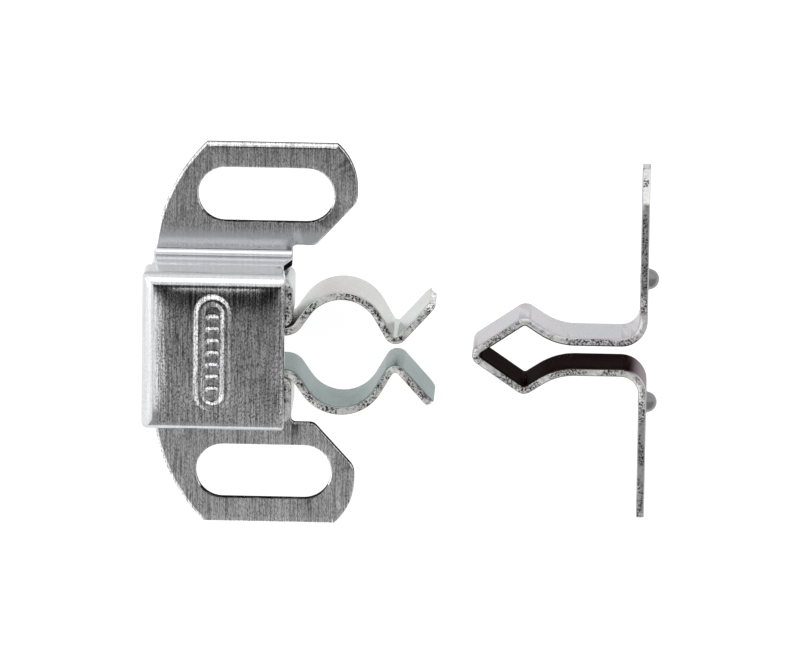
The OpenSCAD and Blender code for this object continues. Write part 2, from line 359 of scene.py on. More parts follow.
def mixColours(nodes, links, blend, amount, first, second):
    mix = nodes.new("ShaderNodeMix")
    mix.data_type = "RGBA"
    mix.blend_type = blend
    if isinstance(amount, (int, float)):
        mix.inputs[0].default_value = amount
    else:
        links.new(amount, mix.inputs[0])
    for socket, shade in ((6, first), (7, second)):
        if isinstance(shade, tuple):
            mix.inputs[socket].default_value = (*shade, 1)
        else:
            links.new(shade, mix.inputs[socket])
    mix.clamp_result = blend == "ADD"
    return mix.outputs[2]


def plainGrey(value):
    return (value, value, value)


def mathNode(nodes, links, operation, first, second=0.0):
    node = nodes.new("ShaderNodeMath")
    node.operation = operation
    for socket, value in zip(node.inputs, (first, second)):
        if isinstance(value, (int, float)):
            socket.default_value = value
        else:
            links.new(value, socket)
    return node.outputs["Value"]


openBox = {"x": 0, "y": 0, "halfX": 100, "least": 0}      # what a box has when it doesn't say


def boxMask(nodes, links, coords, box):
    # the mask is 1 inside or outside a box about (x, y), and falls to its least beyond a soft border
    box = {**openBox, **box}
    split = nodes.new("ShaderNodeSeparateXYZ")
    links.new(coords.outputs["Object"], split.inputs[0])
    beyond = []
    for axis, centre, half in (("X", box["x"], box["halfX"]), ("Y", box["y"], box["halfY"])):
        offset = mathNode(nodes, links, "SUBTRACT", split.outputs[axis], centre * millimetre)
        distance = mathNode(nodes, links, "ABSOLUTE", offset)
        beyond.append(mathNode(nodes, links, "SUBTRACT", distance, half * millimetre))
    furthest = mathNode(nodes, links, "MAXIMUM", *beyond)
    mask = nodes.new("ShaderNodeMapRange")
    mask.interpolation_type = "SMOOTHSTEP"
    near, far = (1.0, box["least"]) if box["inside"] else (box["least"], 1.0)
    setSockets(mask, {"From Max": box["soft"] * millimetre, "To Min": near, "To Max": far})
    links.new(furthest, mask.inputs["Value"])
    return mask.outputs["Result"]


def metalFinish(name, look):
    # streaks run where the scale is low; clouds give the zinc's slow change of shade
    material = bpy.data.materials.new(name)
    material.use_nodes = True
    nodes, links = material.node_tree.nodes, material.node_tree.links
    shader = nodes["Principled BSDF"]
    setSockets(shader, {"Metallic": 1.0})
    coords = nodes.new("ShaderNodeTexCoord")
    streaks = noiseNode(nodes, links, coords, look["streakScale"], 3.0, 0.6)
    streakShade = ramp(nodes, [(0.36, plainGrey(look["streakDark"])), (0.5, plainGrey(1.0)),
                               (0.66, plainGrey(look["streakLight"]))])
    links.new(streaks.outputs["Fac"], streakShade.inputs["Fac"])
    clouds = noiseNode(nodes, links, coords, look["cloudScale"], 2.0, 0.5)
    cloudShade = ramp(nodes, [(0.3, look["shadeLow"]), (0.7, look["shadeHigh"])])
    links.new(clouds.outputs["Fac"], cloudShade.inputs["Fac"])
    specks = noiseNode(nodes, links, coords, look["speckScale"], 2.0, 0.7)
    speckShade = ramp(nodes, [(0.4, plainGrey(look["speckDark"])), (look["speckEnd"], plainGrey(1.0))])
    links.new(specks.outputs["Fac"], speckShade.inputs["Fac"])
    speckColour = speckShade.outputs["Color"]
    if "patchScale" in look:
        # the torn half of a cut shows in patches
        patches = noiseNode(nodes, links, coords, (look["patchScale"],) * 3, 2.0)
        torn = ramp(nodes, [(0.42, plainGrey(0.85)), (0.52, plainGrey(0.0))])
        links.new(patches.outputs["Fac"], torn.inputs["Fac"])
        speckColour = mixColours(nodes, links, "ADD", 1.0, speckColour, torn.outputs["Color"])
    shade = mixColours(nodes, links, "MULTIPLY", 1.0, cloudShade.outputs["Color"],
                       streakShade.outputs["Color"])
    shade = mixColours(nodes, links, "MULTIPLY", 1.0, shade, speckColour)
    if "edgeTint" in look:
        setSockets(shader, {"Specular Tint": (*look["edgeTint"], 1)})
    if "paintedShadowBox" in look:
        # painted shade inside the box, the usual zinc beyond it
        beyond = boxMask(nodes, links, coords, look["paintedShadowBox"])
        shade = mixColours(nodes, links, "MIX", beyond, shade, look["plainShade"])
    # in the smooth zones the shade becomes one plain colour, a painted sheen
    if "brushed" in look:
        mask = boxMask(nodes, links, coords, look["brushed"])
        shade = mixColours(nodes, links, "MIX", mask, look["smoothSheenShade"], shade)
    # painted shade: the shade is darkened inside or beyond a box
    if "paintedShadeBox" in look:
        paintedShadeMask = boxMask(nodes, links, coords, look["paintedShadeBox"])
        shade = mixColours(nodes, links, "MULTIPLY", paintedShadeMask, shade, plainGrey(look["paintedShadeLevel"]))
    links.new(shade, shader.inputs["Base Color"])
    gloss = nodes.new("ShaderNodeMapRange")
    setSockets(gloss, {"From Min": 0.3, "From Max": 0.7, "To Min": look["roughLow"],
                       "To Max": look["roughHigh"]})
    links.new(streaks.outputs["Fac"], gloss.inputs["Value"])
    links.new(gloss.outputs["Result"], shader.inputs["Roughness"])
    bump = nodes.new("ShaderNodeBump")
    setSockets(bump, {"Strength": look["bumpStrength"], "Distance": look["bumpHeight"]})
    if "brushed" in look:
        links.new(mask, bump.inputs["Strength"])
    height = mixColours(nodes, links, "ADD", look["speckBump"], streaks.outputs["Color"],
                        specks.outputs["Color"])
    links.new(height, bump.inputs["Height"])
    links.new(bump.outputs["Normal"], shader.inputs["Normal"])
    return material


brushedLook = {
    "streakScale": (8800, 260, 260), "streakDark": 0.5, "streakLight": 1.3,
    "cloudScale": (260, 200, 200), "shadeLow": (0.64, 0.64, 0.65), "shadeHigh": (0.80, 0.79, 0.80),
    "speckScale": (9500, 3600, 3600), "speckDark": 0.5, "speckEnd": 0.52, "speckBump": 0.6,
    "roughLow": 0.09, "roughHigh": 0.18, "bumpStrength": 1.0, "bumpHeight": 0.000010,
    "brushed": {"y": 1.0, "halfY": 8.9, "soft": 1.2, "least": 0.16, "inside": False},
    # the smooth band beside the feet is lighter and bluish: a painted sheen
    "smoothSheenShade": (0.84, 0.85, 0.89),
    # painted shade on the risers and the bridge
    "paintedShadeBox": {"halfY": 8.7, "soft": 0.3, "inside": True},
    "paintedShadeLevel": 0.66,
}
coverLook = dict(
    brushedLook, shadeLow=(0.50, 0.49, 0.50), shadeHigh=(0.64, 0.63, 0.64), streakLight=1.35, speckDark=0.32,
    bumpHeight=0.000008,
    speckScale=(7500, 4200, 4200),
    brushed={"x": -3.9, "y": -0.2, "halfX": 6.0, "halfY": 6.6, "soft": 0.9, "least": 0.16,
             "inside": True},
    # the cover's smooth bends and walls take this plain colour, set to the tone of their highlight
    smoothSheenShade=(0.62, 0.63, 0.64),
    # painted shade on the cover's upper and lower walls
    paintedShadeBox={"halfY": 7.6, "soft": 0.35, "inside": False},
    paintedShadeLevel=0.6)
springLook = {
    "streakScale": (500, 500, 5200), "streakDark": 0.88, "streakLight": 1.05,
    "cloudScale": (230, 230, 150), "shadeLow": (0.40, 0.37, 0.35), "shadeHigh": (0.46, 0.50, 0.49),
    "speckScale": (4000, 4000, 4000), "speckDark": 0.9, "speckEnd": 0.52, "speckBump": 0.4,
    "roughLow": 0.2, "roughHigh": 0.3, "bumpStrength": 0.15, "bumpHeight": 0.00001,
}
cutEdgeLook = {
    "streakScale": (2600, 2600, 2600), "streakDark": 0.85, "streakLight": 1.05,
    "cloudScale": (420, 420, 420), "shadeLow": (0.76, 0.75, 0.74), "shadeHigh": (0.95, 0.95, 0.94),
    "speckScale": (4800, 4800, 4800), "speckDark": 0.0, "speckEnd": 0.58, "speckBump": 0.7,
    "patchScale": 480,
    "roughLow": 0.26, "roughHigh": 0.4, "bumpStrength": 0.6, "bumpHeight": 0.00002,
}
strikeLook = dict(springLook, shadeLow=(0.33, 0.35, 0.38), shadeHigh=(0.41, 0.36, 0.38))
brushedZinc = metalFinish("brushedZinc", brushedLook)
coverZinc = metalFinish("coverZinc", coverLook)
springZinc = metalFinish("springZinc", springLook)
# the leaves' inner faces, facing each other: a darker copy of the spring zinc with a duller edge tint,
# painted shade between the leaves
springInsideShade = metalFinish("springInsideShade", dict(
    springLook, shadeLow=(0.17, 0.21, 0.20), shadeHigh=(0.26, 0.30, 0.29), edgeTint=(0.75, 0.8, 0.8)))
cutEdge = metalFinish("cutEdge", cutEdgeLook)
# the frame's and cover tabs' cut edges: painted near black with a dark edge tint, a painted shadow on the
# edges' sides
frameCutEdgeShade = metalFinish("frameCutEdgeShade", dict(
    cutEdgeLook, shadeLow=(0.02, 0.02, 0.02), shadeHigh=(0.14, 0.14, 0.14), edgeTint=(0.15, 0.15, 0.15)))
strikeZinc = metalFinish("strikeZinc", strikeLook)
# the strike's inner faces: painted shade, dark and with a dark edge tint, inside the loop between its arms;
# plain zinc beyond the box
strikeInsideShade = metalFinish("strikeInsideShade", dict(
    strikeLook, shadeLow=(0.010, 0.006, 0.007), shadeHigh=(0.032, 0.021, 0.022),
    roughLow=0.3, roughHigh=0.42, edgeTint=(0.22, 0.17, 0.18), plainShade=(0.55, 0.55, 0.57),
    paintedShadowBox={"x": 20, "y": 0, "halfX": 16.3, "halfY": 4.2, "soft": 1.6, "inside": False}))
strikeCutEdge = metalFinish("strikeCutEdge", dict(
    # painted shade on the cut edges of the strike's ears
    cutEdgeLook, paintedShadeBox={"halfY": 5.6, "soft": 1.4, "inside": False},
    paintedShadeLevel=0.5))
domeZinc = metalFinish("domeZinc", dict(
    springLook, shadeLow=(0.18, 0.18, 0.19), shadeHigh=(0.24, 0.24, 0.24), roughLow=0.04, roughHigh=0.08))
print("finishes made")


# frame: two slotted ears joined by a raised bridge

frameValues = {
    "thickness": 0.75, "halfHeight": 19.4, "left": -11.15, "right": 9.12,
    "sideRadius": 17.6, "sideY": 6.9, "cornerRadius": 6.0, "cornerY": 14.9,
    "earInner": 9.1, "footStart": 8.62, "neckRight": 2.7, "neckRadius": 0.48,
    "slopeX": 5.0, "slopeTop": 13.6, "slotY": 14.15, "slotLength": 13.55, "slotWidth": 5.45,
    "footRadius": 1.045, "riser": 3.48, "topRadius": 0.625, "bridge": 13.9, "bridgeRight": 2.0,
    "slopeLow": 0.5, "slopeHigh": 3.28, "notchX": 0.16, "notchY": 3.58,
    "rim": {"rollWidth": 0.16, "rollDepth": 0.12, "burr": 0.04},
    "outerRim": 0.55, "outerDepth": 0.26,     # the outer straight edges are coined wider
    "smallRound": 0.3, "riserRounds": (0.5, 0.4), "earRounds": (0.9, 1.6), "edgeStep": 0.8,
    "shadeLineX": 4.6, "slotShadeLine": 1.4,            # beyond these the rims keep a painted dark outer line, painted shade on the roll
    "softX": -6.2, "softRim": 0.32, "softDepth": 0.15,    # and here they are rolled softer
}


def buildFrame(v):
    ear = v["halfHeight"] - v["footStart"]
    segments = [(ear, 0), (90, v["footRadius"]), (v["riser"], 0), (-90, v["topRadius"]), (v["bridge"], 0),
                (-90, v["topRadius"]), (v["riser"], 0), (90, v["footRadius"]), (ear, 0)]
    points, lengths, foldLines = followPath(segments, (-v["halfHeight"], v["thickness"] / 2))
    total = lengths[-1]
    middle = total / 2

    def along(y):
        return total - (v["halfHeight"] - y)
    bendFoot = total - lengths[math.ceil(90 / bendStep) + 1]
    riserTop = bendFoot - v["riser"]
    # the right side of the upper half, from the notch outwards, as (along, across)
    side = v["sideRadius"] + v["left"]
    cornerEnd = math.degrees(math.asin((v["halfHeight"] - v["cornerY"]) / v["cornerRadius"]))
    sideEnd = math.degrees(math.acos((v["halfHeight"] - v["sideY"]) / v["sideRadius"])) + 90
    footAngle = 180 - math.degrees(math.asin((v["footStart"] - v["sideY"]) / v["sideRadius"]))
    small = v["smallRound"]
    corners = [(middle + v["notchY"], v["notchX"], small), (middle + v["notchY"], v["bridgeRight"], small),
               (riserTop + v["riser"] - v["slopeHigh"], v["bridgeRight"], v["riserRounds"][0]),
               (bendFoot - v["slopeLow"], v["neckRight"], v["riserRounds"][1]),
               (along(v["earInner"]), v["neckRight"], v["neckRadius"]),
               (along(v["earInner"]), v["slopeX"], v["earRounds"][0]),
               (along(v["slopeTop"]), v["right"], v["earRounds"][1])]
    cornerCentre = (v["right"] - v["cornerRadius"], v["cornerY"])
    corners += [(along(y), x, 0) for x, y in arcPoints(cornerCentre, v["cornerRadius"], 4, cornerEnd, 16)]
    corners[-1] = (*corners[-1][:2], small)
    left = arcPoints((side, v["sideY"]), v["sideRadius"], sideEnd, footAngle, 24)
    corners += [(along(left[0][1]), left[0][0], small)] + [(along(y), x, 0) for x, y in left[1:]]
    corners += [(along(v["footStart"]) - v["edgeStep"], v["left"], 0)]
    mirrored = [(total - u, x, r) for u, x, r in reversed(corners)]
    # anticlockwise when seen with the path to the right and X upwards
    outline = filletLoop(corners + mirrored)
    area = sum(a[0] * b[1] - b[0] * a[1] for a, b in zip(outline, outline[1:] + outline[:1]))
    if area < 0:
        outline.reverse()
    outline = densify(outline, v["edgeStep"])
    slotCentres = (along(v["slotY"]), total - along(v["slotY"]))
    holes = [densify(slotLoop(u, 0, v["slotWidth"], v["slotLength"]), v["edgeStep"]) for u in slotCentres]

    usual = (v["rim"]["rollWidth"], v["rim"]["rollDepth"])

    def rimSize(p):
        # roll width, roll depth and how many of the roll's steps take the cut edge finish, painted dark as a
        # shadow line
        if min(abs(p[0]), abs(p[0] - total)) < 0.02:
            return (v["outerRim"], v["outerDepth"], 0)
        for u in slotCentres:
            if abs(p[0] - u) < v["slotWidth"] / 2 + 0.05 and abs(p[1]) < v["slotLength"] / 2 + 0.05:
                return (*usual, 4 if p[0] < u - v["slotShadeLine"] else 0)
        if p[1] < v["softX"]:
            return (v["softRim"], v["softDepth"], 0)
        return (*usual, 2 if p[1] > v["shadeLineX"] else 0)
    blank = flatBlank("frameBlank", [outline] + holes, v["thickness"], v["rim"], foldLines, rimSize)
    return foldSheet("slottedFrame", blank, [(0, p[0], p[1]) for p in points], (1, 0, 0),
                     (brushedZinc, frameCutEdgeShade, brushedZinc, frameCutEdgeShade))


slottedFrame = buildFrame(frameValues)
print("frame folded:", len(slottedFrame.data.polygons), "faces")


# strips: spring clip, the two leaves and the strike

springValues = {
    "thickness": 0.8, "width": 8.1, "low": 1.2, "rootY": 2.1, "pivotX": 2.3, "rootX": 1.77,
    "rootRadius": 1.6, "rise": 55, "riseLength": 1.534, "archRadius": 4.2, "fall": 60, "fallLength": 2.154,
    "throatRadius": 0.79, "lipAngle": 48, "lipLength": 4.5, "lipCorner": 1.0,
    "hemX": 1.2, "hemRadius": 0.44, "legX": 2.65, "legFootRadius": 0.55, "legCorner": 0.5, "topY": 6.7,
    "backX": -10.55, "backRadius": 0.9, "closedLow": 6.0, "stepPastLeg": 0.15, "stepRounds": (0.5, 0.4),
    "rootCorner": 0.1, "rootGap": 0.02, "leafStep": 1.2, "clipStep": 1.5,
    "flexEnd": 4.6, "blendZ": 5.0,
    "rim": {"rollWidth": 0.15, "rollDepth": 0.12, "burr": 0.06},
}


def leafSegments(v):
    return [(v["pivotX"] - v["rootX"], 0), (v["rise"], v["rootRadius"]), (v["riseLength"], 0),
            (-v["rise"] - v["fall"], v["archRadius"]), (v["fallLength"], 0),
            (v["fall"] + v["lipAngle"], v["throatRadius"]), (v["lipLength"], 0)]


def buildLeaf(name, v, side, finishes):
    segments = [(size * (side if radius else 1), radius) for size, radius in leafSegments(v)]
    points, lengths, foldLines = followPath(segments, (v["rootX"], side * v["rootY"]))
    low, high, end = v["low"], v["low"] + v["width"], lengths[-1]
    outline = filletLoop([(0, low, v["rootCorner"]), (end, low, v["lipCorner"]), (end, high, v["lipCorner"]),
                          (0, high, v["rootCorner"])])
    blank = flatBlank(name + "Blank", [densify(outline, v["leafStep"])], v["thickness"], v["rim"], foldLines)
    return foldSheet(name, blank, [(p[0], p[1], 0) for p in points], (0, 0, 1), finishes)


upperLeaf = buildLeaf("upperSpringLeaf", springValues, 1, (springZinc, cutEdge, springInsideShade))
lowerLeaf = buildLeaf("lowerSpringLeaf", springValues, -1, (springInsideShade, cutEdge, springZinc))


def buildClip(v):
    legFootY = v["rootY"] + 2 * v["hemRadius"]
    legLength = v["topY"] - v["legCorner"] - legFootY - v["legFootRadius"]
    topLength = v["legX"] - v["legCorner"] - v["backX"] - v["backRadius"]
    start = v["rootX"] - v["rootGap"]
    rootRun = start - v["hemX"]
    half = [(rootRun, 0), (-180, v["hemRadius"]), (v["legX"] - v["legFootRadius"] - v["hemX"], 0),
            (90, v["legFootRadius"]), (legLength, 0), (90, v["legCorner"]), (topLength, 0),
            (90, v["backRadius"])]
    segments = half + [(2 * (v["topY"] - v["backRadius"]), 0)] + half[::-1]
    points, lengths, foldLines = followPath(segments, (start, v["rootY"]), math.pi)
    total = lengths[-1]
    low, high = v["low"], v["low"] + v["width"]
    step = rootRun + math.pi * v["hemRadius"] + half[2][0] + math.pi / 2 * v["legFootRadius"] + legLength
    step += math.pi / 2 * v["legCorner"] + v["stepPastLeg"]
    root, outer, inner = v["rootCorner"], *v["stepRounds"]
    outline = filletLoop([(0, low, root), (step, low, outer), (step, v["closedLow"], inner),
                          (total - step, v["closedLow"], inner), (total - step, low, outer),
                          (total, low, root), (total, high, root), (0, high, root)])
    blank = flatBlank("clipBlank", [densify(outline, v["clipStep"])], v["thickness"], v["rim"], foldLines)
    return foldSheet("springClip", blank, [(p[0], p[1], 0) for p in points], (0, 0, 1),
                     (springZinc, cutEdge, springZinc))


springClip = buildClip(springValues)
print("spring clip and leaves folded")

strikeValues = {
    "thickness": 0.82, "width": 7.0, "middleZ": 5.25, "nose": 20.9, "noseRadius": 0.69, "noseAngle": 34.3,
    "shoulderRadius": 0.75, "shoulderY": 3.46, "rearAngle": 33, "rearRadius": 6.2, "armY": 1.53,
    "earBend": 2.22, "doorX": 38.24, "upperEar": 18.75, "lowerEar": 16.8, "clipLength": 3.15,
    "clipWidth": 2.3, "screwHole": 4.2, "screwSpacing": 23.2, "earCentre": 1.05, "edgeStep": 1.2,
    "endRounds": (0.35, 0.8),                 # at the ear's end, and where the clipped corner starts
    "rim": {"rollWidth": 0.14, "rollDepth": 0.13, "burr": 0.11},
}


def buildStrike(v):
    t = v["thickness"]
    nose, rear = math.radians(v["noseAngle"]), math.radians(v["rearAngle"])
    front = (v["shoulderY"] - v["shoulderRadius"] * (1 - math.cos(nose)) - v["noseRadius"] * math.cos(nose))
    front /= math.sin(nose)
    back = (v["shoulderY"] - v["shoulderRadius"] * (1 - math.cos(rear)) - v["armY"]
            - v["rearRadius"] * (1 - math.cos(rear))) / math.sin(rear)
    armStart = (v["nose"] + t / 2 + v["noseRadius"] * (1 - math.sin(nose)) + front * math.cos(nose)
                + v["shoulderRadius"] * (math.sin(nose) + math.sin(rear)) + back * math.cos(rear)
                + v["rearRadius"] * math.sin(rear))
    arm = v["doorX"] - t / 2 - v["earBend"] - armStart
    earStart = v["armY"] + v["earBend"]
    half = [(-90, v["earBend"]), (arm, 0), (-v["rearAngle"], v["rearRadius"]), (back, 0),
            (v["rearAngle"] + v["noseAngle"], v["shoulderRadius"]), (front, 0)]
    segments = [(v["upperEar"] - earStart, 0)] + half + [(180 - 2 * v["noseAngle"], v["noseRadius"])]
    segments += half[::-1] + [(v["lowerEar"] - earStart, 0)]
    points, lengths, foldLines = followPath(segments, (v["doorX"] - t / 2, v["upperEar"]), -math.pi / 2)
    total, side = lengths[-1], v["width"] / 2
    c, w = v["clipLength"], v["clipWidth"]
    end, clip = v["endRounds"]
    outline = filletLoop([(0, w - side, end), (c, -side, clip), (total - c, -side, clip),
                          (total, w - side, end), (total, side - w, end), (total - c, side, clip),
                          (c, side, clip), (0, side - w, end)])
    d = v["screwHole"]
    holes = [slotLoop(v["upperEar"] - v["earCentre"] - v["screwSpacing"] / 2, 0, d, d),
             slotLoop(total - v["lowerEar"] - v["earCentre"] + v["screwSpacing"] / 2, 0, d, d)]
    blank = flatBlank("strikeBlank", [densify(outline, v["edgeStep"])] + holes, t, v["rim"], foldLines)
    return foldSheet("spearStrike", blank, [(p[0], p[1], v["middleZ"]) for p in points], (0, 0, 1),
                     (strikeInsideShade, strikeCutEdge, strikeZinc))


spearStrike = buildStrike(strikeValues)
print("strike folded:", len(spearStrike.data.polygons), "faces")


# turned pieces set out in a row by Geometry Nodes: the strike's nibs and the bridge's bosses

def latheMesh(name, profile, count=40):
    # profile is (radius, height) from the lower pole to the upper pole
    bm = bmesh.new()
    rings = []
    for radius, height in profile:
        if radius < tiny:
            rings.append([bm.verts.new((0, 0, height * millimetre))])
            continue
        rings.append([bm.verts.new((radius * math.cos(2 * math.pi * i / count) * millimetre,
                                    radius * math.sin(2 * math.pi * i / count) * millimetre,
                                    height * millimetre)) for i in range(count)])
    for low, high in zip(rings, rings[1:]):
        for i in range(count):
            j = (i + 1) % count
            if len(low) == 1:
                bm.faces.new((low[0], high[j], high[i]))
            elif len(high) == 1:
                bm.faces.new((low[i], low[j], high[0]))
            else:
                bm.faces.new((low[i], low[j], high[j], high[i]))
    bmesh.ops.recalc_face_normals(bm, faces=bm.faces)
    return addMesh(name, bm)


def makeRowTree():
    tree = bpy.data.node_groups.new("rowOfTurnedPieces", "GeometryNodeTree")
    addInputs(tree, (("Geometry", "Geometry"), ("Piece", "Object"), ("Count", "Int"),
                     ("First place", "Vector"), ("Pitch", "Vector"), ("Turn", "Vector"),
                     ("Finish", "Material")))
    new = tree.nodes.new
    start, end = new("NodeGroupInput"), new("NodeGroupOutput")
    line, info, copies = (new("GeometryNodeMeshLine"), new("GeometryNodeObjectInfo"),
                          new("GeometryNodeInstanceOnPoints"))
    smooth, realize, paint = (new("GeometryNodeSetShadeSmooth"), new("GeometryNodeRealizeInstances"),
                              new("GeometryNodeSetMaterial"))
    turn = new("FunctionNodeEulerToRotation")
    wireUp(tree, [(start, "Count", line, "Count"), (start, "First place", line, "Start Location"),
                  (start, "Pitch", line, "Offset"), (start, "Piece", info, "Object"),
                  (line, "Mesh", copies, "Points"), (info, "Geometry", copies, "Instance"),
                  (start, "Turn", turn, "Euler"), (turn, "Rotation", copies, "Rotation"),
                  (copies, "Instances", realize, "Geometry"), (realize, "Geometry", smooth, "Geometry"),
                  (smooth, "Geometry", paint, "Geometry"), (start, "Finish", paint, "Material"),
                  (paint, "Geometry", end, "Geometry")])
    return tree


rowTree = makeRowTree()


def rowOfPieces(name, pattern, count, first, pitch, turn, finish):
    holder = addObject(name + "Row", bpy.data.meshes.new(name + "Row"))
    row = holder.modifiers.new("row", "NODES")
    row.node_group = rowTree
    setInputs(row, {"Piece": pattern, "Count": count, "First place": [c * millimetre for c in first],
                    "Pitch": [c * millimetre for c in pitch], "Turn": turn, "Finish": finish})
    piece = bakeObject(holder, name)
    bpy.data.objects.remove(pattern)
    return piece


nibValues = {"radius": 1.05, "flare": 0.1, "rivetRadius": 0.62, "rivetHeight": 0.03, "spacing": 12.5}


def buildNibs(v, strike):
    r, t = v["radius"], strike["thickness"]
    profile = [(0, -t - v["rivetHeight"]), (v["rivetRadius"] * 0.6, -t - v["rivetHeight"] * 0.85),
               (v["rivetRadius"] * 0.9, -t - v["rivetHeight"] * 0.4), (v["rivetRadius"], -t + 0.05),
               (v["rivetRadius"], -t / 2), (r + v["flare"], -0.02), (r + v["flare"], 0.02),
               (r + v["flare"] * 0.25, 0.07), (r, 0.16)]
    profile += [(r * math.cos(a), r * math.sin(a)) for a in np.linspace(0.2, math.pi / 2 - 0.08, 14)]
    profile.append((0, r))
    pattern = latheMesh("nibPattern", profile)
    first = (strike["doorX"], strike["earCentre"] - v["spacing"] / 2, strike["middleZ"])
    return rowOfPieces("strikeNibs", pattern, 2, first, (0, v["spacing"], 0), (0, math.pi / 2, 0), domeZinc)


strikeNibs = buildNibs(nibValues, strikeValues)

bossValues = {"radius": 0.6, "height": 3.3, "x": 1.35, "y": 5.55, "root": 5.5}


def buildBosses(v):
    r, h = v["radius"], v["height"]
    profile = [(0, 0), (r, 0), (r, h - 0.2), (r * 0.94, h - 0.08), (r * 0.75, h), (0, h)]
    pattern = latheMesh("bossPattern", profile, 28)
    return rowOfPieces("clipBosses", pattern, 2, (v["x"], -v["y"], v["root"]), (0, 2 * v["y"], 0),
                       (0, 0, 0), domeZinc)


clipBosses = buildBosses(bossValues)
print("nibs and bosses set")


# cover: a shallow pressed cap with a plain bead round a row of ribs

coverValues = {
    "left": -11.85, "right": 2.35, "half": 7.95, "top": 10.36, "base": 5.95, "thickness": 0.6,
    "crownY": 0.15, "crownX": 0.09,
    "bend": 1.3, "roll": 0.5, "lip": 0.2, "cornerRadius": 0.6,
    "beadLength": 11.6, "beadWidth": 3.4, "beadRim": 0.7, "beadHeight": 0.2, "beadX": -4.75,
    "ribCount": 7, "ribLength": 1.2, "ribWidth": 0.4, "ribPitch": 1.21, "grid": 0.13,
    "gridMargin": 0.12, "steps": 14, "tightCorner": 0.22, "cornerLoss": 0.45, "edgeBevel": 0.07,
    "tabWidth": 3.0, "tabY": 3.6, "tabDrop": 1.3, "tabBend": 0.35, "tabReach": 1.75, "tabRound": 0.5,
    "tabLap": 0.25, "tabThinner": 0.02, "tabStep": 0.8,
}


def softStep(low, high, x):
    t = np.clip((x - low) / (high - low), 0, 1)
    return t * t * (3 - 2 * t)


def longBump(dx, dy, lengthX, lengthY, soft):
    # height 1 inside a long round-ended patch, falling off over its soft margin
    r = min(lengthX, lengthY) / 2
    gapX = max(abs(dx) - (lengthX / 2 - r), 0)
    gapY = max(abs(dy) - (lengthY / 2 - r), 0)
    return 1 - softStep(r - soft, r + soft * 0.4, math.hypot(gapX, gapY))


def faceRelief(x, y, v):
    dx = x - v["beadX"]
    outer = longBump(dx, y, v["beadWidth"], v["beadLength"], 0.2)
    inner = longBump(dx, y, v["beadWidth"] - 2 * v["beadRim"], v["beadLength"] - 2 * v["beadRim"], 0.2)
    height = outer - inner
    for i in range(v["ribCount"]):
        dy = y - (i - (v["ribCount"] - 1) / 2) * v["ribPitch"]
        height = max(height, longBump(dx, dy, v["ribLength"], v["ribWidth"], 0.12))
    return v["beadHeight"] * height


def coverRing(v, insets, heights, radius, perSide=26):
    # insets and heights are for the left, lower, right and upper side; runs anticlockwise from above
    x0, x1 = v["left"] + insets[0], v["right"] - insets[2]
    y0, y1 = -v["half"] + insets[1], v["half"] - insets[3]
    places = [((x0, y0), 180, 0, 1), ((x1, y0), 270, 1, 2), ((x1, y1), 0, 2, 3), ((x0, y1), 90, 3, 0)]
    corner = 6
    ring = []
    for k, ((cx, cy), a0, before, after) in enumerate(places):
        mx = cx + radius * (1 if cx == x0 else -1)
        my = cy + radius * (1 if cy == y0 else -1)
        for i in range(corner + 1):
            a = math.radians(a0 + 90 * i / corner)
            share = i / corner
            ring.append((mx + radius * math.cos(a), my + radius * math.sin(a),
                         heights[before] * (1 - share) + heights[after] * share))
        nx, ny = places[(k + 1) % 4][0]
        mx2 = nx + radius * (1 if nx == x0 else -1)
        my2 = ny + radius * (1 if ny == y0 else -1)
        a = math.radians(a0 + 90)
        p = (mx + radius * math.cos(a), my + radius * math.sin(a))
        q = (mx2 + radius * math.cos(a), my2 + radius * math.sin(a))
        for i in range(1, perSide):
            share = i / perSide
            ring.append((p[0] + (q[0] - p[0]) * share, p[1] + (q[1] - p[1]) * share, heights[after]))
    return ring


